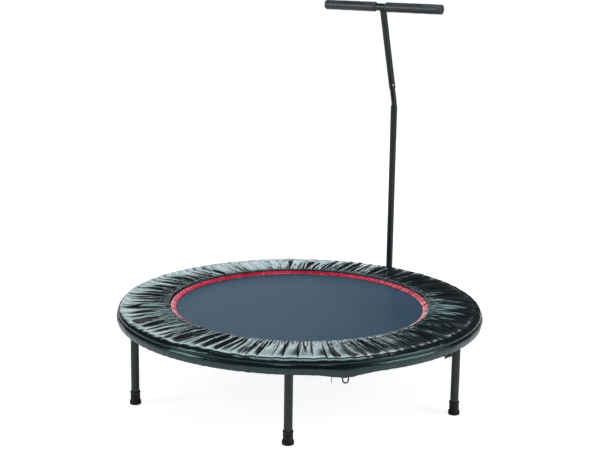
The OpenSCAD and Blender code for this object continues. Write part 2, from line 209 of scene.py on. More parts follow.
def arc(centre, radius_r, radius_z, start, end, count):
    """Points (r, z) on an ellipse about a centre, from one angle in degrees to another."""
    a = np.radians(np.linspace(start, end, count))
    return np.stack([centre[0] + radius_r * np.cos(a), centre[1] + radius_z * np.sin(a)], axis=-1)


# %% [markdown]
# ## Finishes
# Most of this object is black, so the finishes differ in gloss and grain more than in colour. Two node
# groups are shared: a grain, which is a noise at one scale with a mask and a height, and a weave, which is
# the height of two crossed sets of ribs. Each material places them with its own values, and keeps its own
# shader.

# %% Shared node groups


def new_group(name, inputs, outputs):
    """A shader node group with named sockets."""
    group = bpy.data.node_groups.new(name, "ShaderNodeTree")
    for label, kind, value in inputs:
        socket = group.interface.new_socket(label, in_out="INPUT", socket_type=kind)
        socket.default_value = value
    for label, kind in outputs:
        group.interface.new_socket(label, in_out="OUTPUT", socket_type=kind)
    return group, group.nodes.new("NodeGroupInput"), group.nodes.new("NodeGroupOutput")


def math_node(tree, operation, a, b=None):
    """The output of a Math node whose inputs are sockets or numbers."""
    node = tree.nodes.new("ShaderNodeMath")
    node.operation = operation
    for index, value in enumerate((a, b)):
        if value is None:
            continue
        if isinstance(value, (int, float)):
            node.inputs[index].default_value = value
        else:
            tree.links.new(value, node.inputs[index])
    return node.outputs[0]


def make_grain():
    """Noise at one scale: Mask is soft, from 0 to 1, and Height is the same noise with finer detail."""
    group, given, out = new_group(
        "grain", [("Scale", "NodeSocketFloat", 40.0), ("Detail", "NodeSocketFloat", 4.0)],
        [("Mask", "NodeSocketFloat"), ("Height", "NodeSocketFloat")])
    place = group.nodes.new("ShaderNodeTexCoord")
    for label, roughness in (("Mask", 0.45), ("Height", 0.65)):
        noise = group.nodes.new("ShaderNodeTexNoise")
        noise.inputs["Roughness"].default_value = roughness
        group.links.new(place.outputs["Object"], noise.inputs["Vector"])
        group.links.new(given.outputs["Scale"], noise.inputs["Scale"])
        group.links.new(given.outputs["Detail"], noise.inputs["Detail"])
        group.links.new(noise.outputs["Fac"], out.inputs[label])
    return group


def make_weave():
    """Crossed ribs along X and Y, Pitch apart: Height is one sine times the other, the over-and-under of
    the tapes."""
    group, given, out = new_group("weave", [("Pitch", "NodeSocketFloat", 0.002)], [("Height", "NodeSocketFloat")])
    place = group.nodes.new("ShaderNodeTexCoord")
    parts = group.nodes.new("ShaderNodeSeparateXYZ")
    group.links.new(place.outputs["Object"], parts.inputs[0])
    turns = math_node(group, "DIVIDE", FULL_TURN, given.outputs["Pitch"])
    waves = [math_node(group, "SINE", math_node(group, "MULTIPLY", parts.outputs[k], turns)) for k in (0, 1)]
    group.links.new(math_node(group, "MULTIPLY", waves[0], waves[1]), out.inputs["Height"])
    return group


GRAIN, WEAVE = make_grain(), make_weave()
print("node groups", GRAIN.name, WEAVE.name)

# %% [markdown]
# A material is built from the same few steps: a base colour that wanders a little between two shades, a
# roughness that wanders with it, and one or two bumps. The fixed numbers, such as the metallic or the
# specular tint, are set on the shader itself.

# %% Material builder


def make_finish(name, dark, light, rough, bumps, patch=9.0, **fixed):
    """A Principled material: colour and roughness wander between two values, and bumps is a list of
    (group, scale or pitch, strength, distance)."""
    material = bpy.data.materials.new(name)
    material.use_nodes = True
    tree = material.node_tree
    shader = tree.nodes["Principled BSDF"]
    for label, value in fixed.items():
        shader.inputs[label.replace("_", " ")].default_value = value
    wander = tree.nodes.new("ShaderNodeGroup")
    wander.node_tree = GRAIN
    wander.inputs["Scale"].default_value = patch
    spread = tree.nodes.new("ShaderNodeMapRange")
    spread.inputs["From Min"].default_value, spread.inputs["From Max"].default_value = 0.35, 0.65
    tree.links.new(wander.outputs["Mask"], spread.inputs["Value"])
    colour = tree.nodes.new("ShaderNodeMix")
    colour.data_type = "RGBA"
    colour.inputs["A"].default_value, colour.inputs["B"].default_value = (*dark, 1), (*light, 1)
    tree.links.new(spread.outputs[0], colour.inputs["Factor"])
    tree.links.new(colour.outputs["Result"], shader.inputs["Base Color"])
    gloss = tree.nodes.new("ShaderNodeMapRange")
    gloss.inputs["To Min"].default_value, gloss.inputs["To Max"].default_value = rough
    tree.links.new(spread.outputs[0], gloss.inputs["Value"])
    tree.links.new(gloss.outputs[0], shader.inputs["Roughness"])
    normal = None
    for group, size, strength, distance in bumps:
        pattern = tree.nodes.new("ShaderNodeGroup")
        pattern.node_tree = group
        pattern.inputs[0].default_value = size
        bump = tree.nodes.new("ShaderNodeBump")
        bump.inputs["Strength"].default_value, bump.inputs["Distance"].default_value = strength, distance
        tree.links.new(pattern.outputs["Height"], bump.inputs["Height"])
        if normal is not None:
            tree.links.new(normal, bump.inputs["Normal"])
        normal = bump.outputs["Normal"]
    if normal is not None:
        tree.links.new(normal, shader.inputs["Normal"])
    return material


# %% The finishes
vinyl = make_finish("glossy black vinyl", (0.0030, 0.0060, 0.0068), (0.0050, 0.0090, 0.0100), (0.17, 0.25),
                    [(GRAIN, 30, 0.15, 0.0012), (GRAIN, 900, 0.06, 0.0002)],
                    Specular_Tint=(0.60, 0.94, 1.0, 1.0), Specular_IOR_Level=1.0)
mat_weave = make_finish("woven jumping mat", (0.033, 0.080, 0.130), (0.043, 0.100, 0.160), (0.34, 0.40),
                        [(WEAVE, 0.0022, 0.35, 0.0003), (GRAIN, 260, 0.45, 0.0010)], patch=5.0,
                        Specular_Tint=(0.78, 0.92, 1.0, 1.0), Specular_IOR_Level=0.02)
red_vinyl = make_finish("red border vinyl", (0.50, 0.010, 0.046), (0.72, 0.028, 0.092), (0.20, 0.30),
                        [(GRAIN, 120, 0.5, 0.0008)], patch=14.0, Specular_IOR_Level=0.8)
powder_coat = make_finish("dark powder coat", (0.013, 0.019, 0.021), (0.019, 0.026, 0.029), (0.20, 0.28),
                          [(GRAIN, 700, 0.12, 0.0002)], patch=6.0, Specular_IOR_Level=0.6,
                          Specular_Tint=(0.85, 0.96, 1.0, 1.0))
zinc = make_finish("zinc plated wire", (0.42, 0.43, 0.44), (0.58, 0.59, 0.60), (0.26, 0.42),
                   [(GRAIN, 400, 0.15, 0.0001)], patch=60.0, Metallic=1.0)
nickel = make_finish("bright button", (0.40, 0.41, 0.42), (0.50, 0.51, 0.52), (0.20, 0.28),
                     [(GRAIN, 900, 0.1, 0.00005)], patch=200.0, Metallic=1.0)
rubber = make_finish("black foot rubber", (0.012, 0.012, 0.013), (0.022, 0.022, 0.024), (0.62, 0.78),
                     [(GRAIN, 500, 0.3, 0.0003)], patch=40.0)
moulded = make_finish("black moulded plastic", (0.012, 0.012, 0.013), (0.018, 0.018, 0.020), (0.42, 0.55),
                      [(GRAIN, 800, 0.25, 0.0002)], patch=30.0)
grip_foam = make_finish("grey grip foam", (0.027, 0.040, 0.050), (0.036, 0.052, 0.063), (0.30, 0.36),
                        [(GRAIN, 600, 0.25, 0.0002), (GRAIN, 90, 0.12, 0.0006)], patch=25.0,
                        Specular_IOR_Level=0.7)
black_cloth = make_finish("black woven backing", (0.010, 0.010, 0.011), (0.020, 0.020, 0.022), (0.70, 0.85),
                          [(WEAVE, 0.0016, 0.5, 0.0003)], patch=12.0)
webbing = make_finish("black webbing", (0.012, 0.012, 0.013), (0.028, 0.028, 0.030), (0.70, 0.85),
                      [(WEAVE, 0.0012, 0.7, 0.0003)], patch=50.0)
cord_finish = make_finish("black braided cord", (0.012, 0.012, 0.013), (0.032, 0.032, 0.034), (0.65, 0.85),
                          [(WEAVE, 0.0009, 0.8, 0.0003)], patch=200.0)
print(len(bpy.data.materials), "finishes made")


def dress(piece, finish, body, replaced=()):
    """Finish, body, slot and replaced CAD nodes of a new piece, in one place."""
    piece.data.materials.clear()
    piece.data.materials.append(finish)
    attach(piece, body)
    if replaced:
        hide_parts(*replaced)
    print(piece.name, len(piece.data.polygons), "faces")
    return piece


# %% [markdown]
# ## The gathered pad cover
# The real cover is straight strips of glossy vinyl, sewn edge to edge and drawn in by an elastic at the
# inner hem. The cloth has to go somewhere, so it stands up in pleats: many small ones at the elastic, which
# join into fewer, larger ones further out, and lie flat at the seam to the skirt. A cloth simulation would
# find such folds too, but slowly and never twice the same size, so here the folds are written as waves round
# the ring whose height depends on the distance from the hem.

# %% Outline of the cover's top
BEAD_R = 0.0031
HEM_POINTS = 14
SEAM_ANGLE = 22.0
SEAM_DEPTH = 0.0022
OVER = COVER_R - RING_R
CROWN = CREST_Z - RING_Z
ring_centre = (RING_R, RING_Z)
hem_centre = (HEM_R, HEM_Z)
start_r = HEM_R + BEAD_R
top_r = np.linspace(start_r + 0.006, RING_R - 0.004, 30)
lift = (top_r - start_r) / (RING_R - start_r)
top_z = HEM_Z + BEAD_R * 0.55 + (CREST_Z - HEM_Z - BEAD_R * 0.55) * np.sin(lift * np.pi / 2) ** 0.8
top_line = np.concatenate([
    arc(hem_centre, BEAD_R, BEAD_R, -70, -290, HEM_POINTS),
    np.stack([top_r, top_z], axis=-1),
    arc(ring_centre, OVER, CROWN, 86, SEAM_ANGLE, 16)])


def normals_of(line):
    """Unit normals of an outline (r, z), on its left-hand side as it runs outwards over the top."""
    run = np.gradient(line, axis=0)
    run /= np.linalg.norm(run, axis=1, keepdims=True)
    return np.stack([-run[:, 1], run[:, 0]], axis=-1)


AROUND, ROWS, HEM_ROWS = 2160, 44, 8
theta = np.linspace(0, FULL_TURN, AROUND, endpoint=False)[:, None]
hem_part = smooth_path(top_line[:HEM_POINTS], HEM_ROWS)
rest_part = smooth_path(top_line[HEM_POINTS:], ROWS - HEM_ROWS, crowd=0.55)
top_line = np.concatenate([hem_part, rest_part])
top_normal = normals_of(top_line)
reach = np.concatenate([[0], np.cumsum(np.hypot(*np.diff(top_line, axis=0).T))])
hem_run = reach[HEM_ROWS - 1]
rho = np.clip((reach - hem_run) / (reach[-1] - hem_run), 0, 1)[None, :]
print("cover top runs", round(float(reach[-1]), 4), "m from hem to seam")

# %% Pleats of the cover's top
BIG, MIDDLE, SMALL = 92, 168, 264
BIG_RISE, MIDDLE_RISE, SMALL_RISE, SWELL_RISE = 0.0088, 0.0034, 0.0024, 0.0020
SINK, VALLEY_SINK, HEM_DIP = 0.0008, 0.0032, 0.0022


def ridge(phase, sharp):
    """A wave from 0 to 1 whose tops are round and whose valleys are tight, more so as sharp grows."""
    return np.abs(np.cos(phase / 2)) ** sharp


drift = 0.010 * ring_noise(theta, 5, 24, 11) + 0.004 * ring_noise(theta, 30, 60, 12)
slant = (0.030 + 0.045 * ring_noise(theta, 2, 7, 13)) * rho
big_height = 0.62 + 0.38 * ring_noise(theta + slant, 18, 70, 14)
fade_at = 0.965 + 0.035 * ring_noise(theta + slant, 25, 80, 15)
big = big_height * ridge(BIG * (theta + drift + slant), 0.55)
big = big * (0.35 + 0.65 * smooth_step(rho, 0.0, 0.25)) * (1 - 0.72 * smooth_step(rho, 0.40, 0.86))
big = big * (1 - smooth_step(rho, fade_at - 0.16, fade_at + 0.02))
middle_height = 0.6 + 0.4 * ring_noise(theta + slant, 30, 90, 16)
middle = middle_height * ridge(MIDDLE * (theta + 0.7 * drift + 0.8 * slant), 0.7)
middle = middle * (0.5 + 0.5 * smooth_step(rho, 0.0, 0.12)) * (1 - smooth_step(rho, 0.25, 0.72))
small = ridge(SMALL * (theta + 0.6 * drift + 0.5 * slant), 0.8) * (1 - smooth_step(rho, 0.10, 0.36))
swell = ring_noise(theta + 0.5 * slant, 4, 16, 17) * np.sin(np.pi * rho)
fold = BIG_RISE * big + MIDDLE_RISE * middle + SMALL_RISE * small + SWELL_RISE * swell
fold = fold - SINK - VALLEY_SINK * smooth_step(rho, 0.0, 0.2) * (1 - smooth_step(rho, 0.74, 0.94))
on_hem = np.concatenate([np.linspace(0.25, 0.8, HEM_ROWS), np.ones(ROWS - HEM_ROWS)])[None, :]
fold = fold * on_hem * (1 - smooth_step(rho, 0.94, 1.0))
seam_dip = SEAM_DEPTH * smooth_step(rho, 0.965, 1.0)
hem_dip = HEM_DIP * np.exp(-((rho - 0.035) / 0.016) ** 2)
offset = fold - seam_dip - hem_dip

# %% [markdown]
# Eight seams join the strips. Each is a narrow valley with a raised lip on one side, and it runs from the
# hem over the crest and down the skirt.

# %% Seams between the strips, and the top's mesh
SEAM_COUNT = 8
FIRST_SEAM = math.radians(285)
seam_angles = FIRST_SEAM + np.arange(SEAM_COUNT) * FULL_TURN / SEAM_COUNT


def seam_profile(angle, width):
    """Height of the seams at an angle round the ring: a valley 1 deep with a lip half as high beside it."""
    gap = (angle[..., None] - seam_angles + np.pi) % FULL_TURN - np.pi
    valley = np.exp(-(gap / width) ** 2)
    lip = np.exp(-((gap - 2.2 * width) / (1.3 * width)) ** 2)
    return (0.5 * lip - valley).sum(-1)


SEAM_WIDTH = 0.0022
SEAM_HEIGHT = 0.0011
offset = offset + SEAM_HEIGHT * seam_profile(theta, SEAM_WIDTH) * smooth_step(rho, 0.02, 0.1)
sway = 0.004 * ring_noise(theta, 60, 150, 18) * np.sin(np.pi * rho) * 0.35
turn = theta + sway
r = top_line[None, :, 0] + offset * top_normal[None, :, 0]
z = top_line[None, :, 1] + offset * top_normal[None, :, 1]
top_points = np.stack([r * np.cos(turn), r * np.sin(turn), z], axis=-1)

NOTCH_HALF = 0.017
NOTCH_IN = RING_R + TUBE_R - 0.0005


def without_notch(points, faces):
    """Leaves out the quads inside the notch that lets the handle pole through."""
    middle_of = points[faces].mean(1)
    inside = (np.abs(middle_of[:, 0]) < NOTCH_HALF) & (middle_of[:, 1] > NOTCH_IN)
    return faces[~inside]


flat_points = top_points.reshape(-1, 3)
top_faces = without_notch(flat_points, grid_faces(AROUND, ROWS, True, False))
cover_top = make_piece("gathered_cover_top", flat_points, top_faces)
dress(cover_top, vinyl, "frame", ["pad_cover"])

# %% [markdown]
# The skirt is a smooth strip sewn to the top. It rolls over in a round shoulder below the seam, turns in
# under the frame and ends in a narrow hem with a draw cord inside. Where the cord is tied, the skirt droops
# and stands out.

# %% The skirt
LOOP_ANGLE = math.radians(316)
SKIRT_ROWS, SKIRT_AROUND = 30, 1440
HEM_LINE_R = COVER_R - 0.0051
HEM_LINE_Z = SKIRT_Z + 0.0027
HEM_ROLL = 0.0029
SHOULDER_R = COVER_R - 0.0078
SHOULDER_Z = RING_Z + CROWN * math.sin(math.radians(SEAM_ANGLE)) - 0.0128
DROOP_OUT, DROOP_DOWN, CORD_DOWN, DROOP_SPREAD = 0.004, 0.0085, 0.0080, 0.10
skirt_line = np.concatenate([
    arc(ring_centre, OVER - SEAM_DEPTH, CROWN - SEAM_DEPTH, SEAM_ANGLE - 1, SEAM_ANGLE - 2, 2),
    arc((SHOULDER_R, SHOULDER_Z), 0.0080, 0.0124, 66, -34, 20),
    arc((HEM_LINE_R, HEM_LINE_Z), HEM_ROLL, HEM_ROLL, 25, -200, 14)])
skirt_line = smooth_path(skirt_line, SKIRT_ROWS)
skirt_normal = normals_of(skirt_line)
down = np.linspace(0, 1, SKIRT_ROWS)[None, :]
around = np.linspace(0, FULL_TURN, SKIRT_AROUND, endpoint=False)[:, None]
near_loop = (around - LOOP_ANGLE + np.pi) % FULL_TURN - np.pi
droop = np.exp(-(near_loop / DROOP_SPREAD) ** 2) * smooth_step(down, 0.15, 0.85)
belly = np.sin(np.pi * np.clip(down * 1.25, 0, 1))
waves = 0.0007 * ring_noise(around, 6, 40, 21) * belly + 0.0004 * ring_noise(around, 60, 140, 22) * down
gathers = ridge(220 * (around + 0.01 * ring_noise(around, 8, 30, 23)), 1.2)
pucker = 0.0002 * gathers * smooth_step(down, 0.55, 0.8)
skirt_off = waves + pucker + 0.0006 * belly + 0.0008 * seam_profile(around, SEAM_WIDTH * 0.8) * belly
r = skirt_line[None, :, 0] + skirt_off * skirt_normal[None, :, 0] + DROOP_OUT * droop * np.sin(np.pi * down)
z = skirt_line[None, :, 1] + skirt_off * skirt_normal[None, :, 1] - DROOP_DOWN * droop
skirt_points = np.stack([r * np.cos(around), r * np.sin(around), z], axis=-1).reshape(-1, 3)
skirt_faces = without_notch(skirt_points, grid_faces(SKIRT_AROUND, SKIRT_ROWS, True, False))
cover_skirt = make_piece("cover_skirt", skirt_points, skirt_faces)
dress(cover_skirt, vinyl, "frame")

# %% [markdown]
# The cover's two parts are cloth. The top's strips are as long as the outer edge, and the elastic gathers
# them at the hem.

# %% [markdown]
# ## The foam pad under the cover
# A ring of foam lies on the springs and laps over the frame tube. From above it is hidden, but from below
# its black woven backing shows between the springs, so it is a closed ring with a slightly quilted face.

# %% Foam pad
FINE_RING = 720
FOAM_IN = MAT_R + 0.006
foam_bottom = float(spring_high[2]) + 0.0016
clear_r = TUBE_R + 0.0004
foam_line = np.concatenate([
    np.linspace((RING_R - 0.002, CREST_Z - 0.0042), (FOAM_IN + 0.001, HEM_Z + 0.0005), 14),
    arc((FOAM_IN + 0.001, (HEM_Z + foam_bottom) / 2), 0.0018, (HEM_Z - foam_bottom) / 2, 100, 260, 6),
    np.stack([np.linspace(FOAM_IN + 0.004, RING_R - clear_r * 0.78, 20), np.full(20, foam_bottom)], axis=-1),
    arc(ring_centre, clear_r, clear_r, 135, -14, 20),
    arc(ring_centre, OVER - 0.0044, CROWN - 0.0046, -14, 88, 14)])
foam_line = smooth_path(np.vstack([foam_line, foam_line[:1]]), 64)[:-1]
foam_turn = np.linspace(0, FULL_TURN, FINE_RING, endpoint=False)[:, None]
quilt = 0.0007 * np.abs(np.cos(SPRINGS * foam_turn / 2)) ** 0.7
below = (foam_line[:, 1] < foam_bottom + 0.0005)[None, :]
foam_points = np.stack([foam_line[None, :, 0] * np.cos(foam_turn), foam_line[None, :, 0] * np.sin(foam_turn),
                        foam_line[None, :, 1] + np.where(below, quilt - 0.0002, 0)], axis=-1).reshape(-1, 3)
foam_faces = without_notch(foam_points, grid_faces(FINE_RING, len(foam_line), True, True)[:, ::-1])
foam_pad = make_piece("foam_pad", foam_points, foam_faces)
dress(foam_pad, black_cloth, "frame", ["foam_ring"])

# %% [markdown]
# ## The jumping mat
# The mat is a disc of woven polypropylene, stretched tight by the springs, so it is all but flat. Each
# spring pulls its edge out a little, which leaves a shallow scallop between two tabs.

# %% Jumping mat
MAT_T = float(mat_high[2] - mat_low[2])
SCALLOP, RIPPLE = 0.0012, 0.00018
mat_turn = np.linspace(0, FULL_TURN, FINE_RING, endpoint=False)[:, None]
mat_steps = np.concatenate([np.linspace(0.0005, 0.96, 60), np.linspace(0.965, 0.9975, 10)])
half_t = MAT_T / 2
edge = np.radians(np.linspace(80, -80, 5))
mat_r = np.concatenate([mat_steps * MAT_R, MAT_R - half_t + half_t * np.cos(edge), (mat_steps * MAT_R)[::-1]])
mat_face_z = np.full(len(mat_steps), half_t)
mat_z = np.concatenate([mat_face_z, half_t * np.sin(edge), -mat_face_z])
near_edge = smooth_step(mat_r, 0.75 * MAT_R, MAT_R)[None, :]
pull = np.cos(SPRINGS * (mat_turn - np.pi / SPRINGS)) * near_edge
ripple = RIPPLE * ring_noise(mat_turn, 12, 60, 31) * smooth_step(mat_r, 0.5 * MAT_R, MAT_R)[None, :]
r = mat_r[None, :] + SCALLOP * (pull - 1) * near_edge
z = MAT_TOP - half_t + mat_z[None, :] + ripple
mat_points = np.stack([r * np.cos(mat_turn), r * np.sin(mat_turn), z + 0 * r], axis=-1).reshape(-1, 3)
mat_faces = grid_faces(FINE_RING, len(mat_r), True, True)
jumping_mat = make_piece("woven_mat", mat_points, mat_faces)
dress(jumping_mat, mat_weave, "mat", ["jump_mat"])

# %% [markdown]
# The red band is a narrow padded roll sewn round the mat. Its stitching is drawn tight, so it is wavy: it
# bulges between the stitches and its inner edge wanders. It dips where the cover's hem lies over it.

# %% Red border band
BORDER_IN = MAT_R - 0.0325
BORDER_AROUND = 1800
PUFF, WANDER = 0.0016, 0.0010
band_turn = np.linspace(0, FULL_TURN, BORDER_AROUND, endpoint=False)[:, None]
CREST_R = HEM_R - BEAD_R - 0.0022
CREST_UP = float(border_high[2]) - MAT_TOP
UNDER_UP = HEM_Z - BEAD_R - 0.0006 - MAT_TOP
hump = np.array([[BORDER_IN + 0.0008, 0.0001], [BORDER_IN, 0.0010], [BORDER_IN + 0.0008, 0.0022],
                 [BORDER_IN + 0.0040, 0.0040], [CREST_R - 0.0080, CREST_UP - 0.0022],
                 [CREST_R - 0.0040, CREST_UP - 0.0006], [CREST_R, CREST_UP],
                 [CREST_R + 0.0016, CREST_UP - 0.0008], [CREST_R + 0.0026, UNDER_UP + 0.0006],
                 [CREST_R + 0.0044, UNDER_UP], [MAT_R - 0.0050, UNDER_UP - 0.0002],
                 [MAT_R - 0.0014, UNDER_UP - 0.0022], [MAT_R - 0.0012, 0.0008],
                 [MAT_R - 0.0020, 0.0001], [BORDER_IN + 0.0120, 0.0001]])
band_line = smooth_path(np.vstack([hump, hump[:1]]), 57)[:-1]
high = band_line[None, :, 1] / CREST_UP
inner = smooth_step(-band_line[None, :, 0], -CREST_R - 0.0020, -CREST_R + 0.0060)
stitch = ridge(150 * (band_turn + 0.012 * ring_noise(band_turn, 10, 50, 41)), 0.8)
wander = ring_noise(band_turn, 20, 80, 42)
puff = PUFF * (stitch - 0.7) + 0.9 * WANDER * wander
r = band_line[None, :, 0] - inner * WANDER * (wander + stitch)
z = MAT_TOP + band_line[None, :, 1] + puff * high * inner
band_points = np.stack([r * np.cos(band_turn), r * np.sin(band_turn), z], axis=-1).reshape(-1, 3)
band_faces = grid_faces(BORDER_AROUND, len(band_line), True, True)
red_band = make_piece("red_border_band", band_points, band_faces)
dress(red_band, red_vinyl, "mat", ["mat_border"])

# %% [markdown]
# ## Springs and tabs
# Each spring is a real coil of wire with a straight end in the frame tube and a hook round its V-ring. It
# joins the frame to the mat, so it must stretch when the mat goes down.

# %% Springs
WIRE_R = 0.0011
COILS = 22
SPRING_IN, SPRING_OUT = MAT_R + 0.0215, RING_R - TUBE_R - 0.013
spring_step = FULL_TURN / SPRINGS


def one_spring():
    """A coil along X, whose x grows evenly as y and z go round a circle of the mean radius. It has a hook
    at its inner end and a straight tail at its outer end."""
    t = np.linspace(0, FULL_TURN * COILS, COILS * 10 + 1)
    mean_r = COIL_R - WIRE_R
    x = SPRING_IN + (SPRING_OUT - SPRING_IN) * t / t[-1]
    coil = np.stack([x, mean_r * np.sin(t), HOOK_Z + mean_r * np.cos(t)], axis=-1)
    a = np.radians(np.linspace(90, 320, 14))
    hook_r, hook_x = 0.0034, SPRING_IN - 0.0058
    bend = np.stack([hook_x + hook_r * np.cos(a), 0 * a, HOOK_Z + hook_r * np.sin(a)], axis=-1)
    rise = np.linspace(0, 1, 6)[:-1, None]
    lead = (1 - rise) * coil[:1] + rise * bend[:1]
    tail_x = np.linspace(SPRING_OUT, RING_R - TUBE_R + 0.0030, 8)
    drop = np.exp(-((tail_x - SPRING_OUT) / 0.004) ** 2)
    tail = np.stack([tail_x, 0 * tail_x, HOOK_Z + mean_r * drop], axis=-1)
    sides = 6
    return join_grids([tube(coil, (1, 0, 0), WIRE_R, sides),
                       tube(np.vstack([lead, bend]), (0, 1, 0), WIRE_R, sides),
                       tube(tail, (0, 1, 0), WIRE_R, sides)])


spring_points, spring_faces = one_spring()
for number in range(SPRINGS):
    angle = (number + 0.5) * spring_step
    coil = make_piece(f"spring_{number + 1:02d}", turned(spring_points, angle), spring_faces)
    coil.data.materials.append(zinc)
    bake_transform(coil)
    if number == 0:
        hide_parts("springs")
print(SPRINGS, "springs of", len(spring_faces), "faces")

# %% Webbing tabs


def one_tab():
    """A strap folded round the V-ring's bar: a loop in (x, z), t thick and twice half_w wide."""
    bar_x, half_w, t = MAT_R + 0.002, 0.006, 0.0011
    loop = arc((bar_x, HOOK_Z), 0.0026, 0.0026, 118, -118, 16)
    under_mat = MAT_TOP - MAT_T - t * 0.5 - 0.0001
    line = np.concatenate([[[MAT_R - 0.013, under_mat], [MAT_R - 0.005, under_mat]], loop,
                           [[MAT_R - 0.005, HOOK_Z + 0.0012], [MAT_R - 0.013, HOOK_Z + 0.0021]]])
    line = smooth_path(line, 40)
    side = normals_of(line)
    corners = []
    for across, out in ((-half_w, 0.5), (half_w, 0.5), (half_w, -0.5), (-half_w, -0.5)):
        edge_line = line + side * t * out
        corners.append(np.stack([edge_line[:, 0], np.full(len(line), across), edge_line[:, 1]], axis=-1))
    rings = capped(np.stack(corners, axis=1))
    return rings.reshape(-1, 3), grid_faces(len(rings), 4, False, True)


tab_points, tab_faces = one_tab()
tabs = join_grids([(turned(tab_points, (k + 0.5) * spring_step), tab_faces) for k in range(SPRINGS)])
webbing_tabs = make_piece("webbing_tabs", *tabs, sharp=40)
dress(webbing_tabs, webbing, "mat", ["mat_tabs"])

# %% [markdown]
# ## Cord and tag on the skirt's hem
# The draw cord runs in the hem and is tied where the skirt droops. What shows is a small loop and one thin
# loose end. The cord is held along its whole length, so it isn't a free cord.

# %% Draw cord
CORD_R, LOOP_WIRE, TAIL_WIRE, KNOT_WIRE = 0.0015, 0.0019, 0.0008, 0.0020
ring_turn = np.linspace(math.radians(92.2), math.radians(447.8), 700)
cord_ring = np.stack([HEM_LINE_R * np.cos(ring_turn), HEM_LINE_R * np.sin(ring_turn),
                      np.full(len(ring_turn), HEM_LINE_Z)], axis=-1)
cord_dip = np.exp(-(((ring_turn - LOOP_ANGLE + np.pi) % FULL_TURN - np.pi) / DROOP_SPREAD) ** 2)
cord_ring[:, 2] -= CORD_DOWN * cord_dip
loop_t = np.linspace(0, 1, 40)
belly_out = 1 + 0.25 * np.sin(np.pi * loop_t)
loop_line = np.stack([0.0015 * np.sin(FULL_TURN * loop_t), 0.0068 * np.cos(np.pi * loop_t) * belly_out,
                      -0.0165 * np.sin(np.pi * loop_t) ** 0.75], axis=-1)
tail_t = np.linspace(0, 1, 24)
tail_line = np.stack([0.002 * tail_t, -0.033 - 0.003 * np.sin(2.2 * tail_t), 0.003 - 0.017 * tail_t], axis=-1)
knot_t = np.linspace(0, FULL_TURN, 60, endpoint=False)
knot_line = np.stack([0.0024 * np.cos(knot_t), 0.0034 * np.sin(2 * knot_t), 0.0020 * np.sin(knot_t)], axis=-1)
tied_at = np.array([HEM_LINE_R - 0.001, 0, SKIRT_Z - 0.0070])
cord_grids = [tube(cord_ring, (0, 0, 1), CORD_R, 8)]
for line, thick, is_ring in ((loop_line, LOOP_WIRE, False), (tail_line, TAIL_WIRE, False),
                             (knot_line, KNOT_WIRE, True)):
    p, f = tube(line, (1, 0.02, 0.01), thick, 8, is_ring)
    cord_grids.append((turned(p + tied_at, LOOP_ANGLE), f))
hem_cord = make_piece("hem_drawcord", *join_grids(cord_grids))
dress(hem_cord, cord_finish, "frame", ["drawcord"])

# %% Hem tag
TAG_ANGLE = math.radians(353.0)
TAG_HALF = (0.0018, 0.0150, 0.0085)
tag_u = np.linspace(-1, 1, 25)[:, None]
tag_v = np.linspace(0, FULL_TURN, 16, endpoint=False)[None, :]
tag_x = TAG_HALF[0] * np.cos(tag_v) * (1 - 0.2 * tag_u ** 8)
tag_z = SKIRT_Z - 0.0028 + TAG_HALF[2] * np.sign(np.sin(tag_v)) * np.abs(np.sin(tag_v)) ** 0.4
tag_points = capped(np.stack([HEM_LINE_R - 0.004 + tag_x + 0.0008 * np.sin(3 * tag_u),
                              TAG_HALF[1] * tag_u + 0 * tag_v,
                              tag_z + 0.0005 * np.cos(4 * tag_u)], axis=-1))
tag_faces = grid_faces(len(tag_points), tag_v.size, False, True)
hem_tag = make_piece("hem_tag", turned(tag_points.reshape(-1, 3), TAG_ANGLE), tag_faces, sharp=50)
dress(hem_tag, webbing, "frame")

# %% [markdown]
# ## Grips, feet and welds
# Foam grips and rubber feet are turned shapes with soft edges, and a welded joint is never a sharp corner:
# a bead of metal fills it. The bead follows the curve where two tubes meet, so it is a tube along that curve.

# %% Handle's own directions
grip_low, grip_high = low_high("grip_right")
GRIP_R = float(grip_high[2] - grip_low[2]) / 2
bar_y = float(grip_high[1] + grip_low[1]) / 2
bar_z = float(grip_high[2] + grip_low[2]) / 2
LEAN = math.radians(16.57)
lean_up = np.array([0, -math.sin(LEAN), math.cos(LEAN)])
lean_out = np.array([0, math.cos(LEAN), math.sin(LEAN)])
bar_centre = np.array([0, bar_y, bar_z])
BAR_R, STEM_R = 0.011, 0.0098


# %% Foam grips


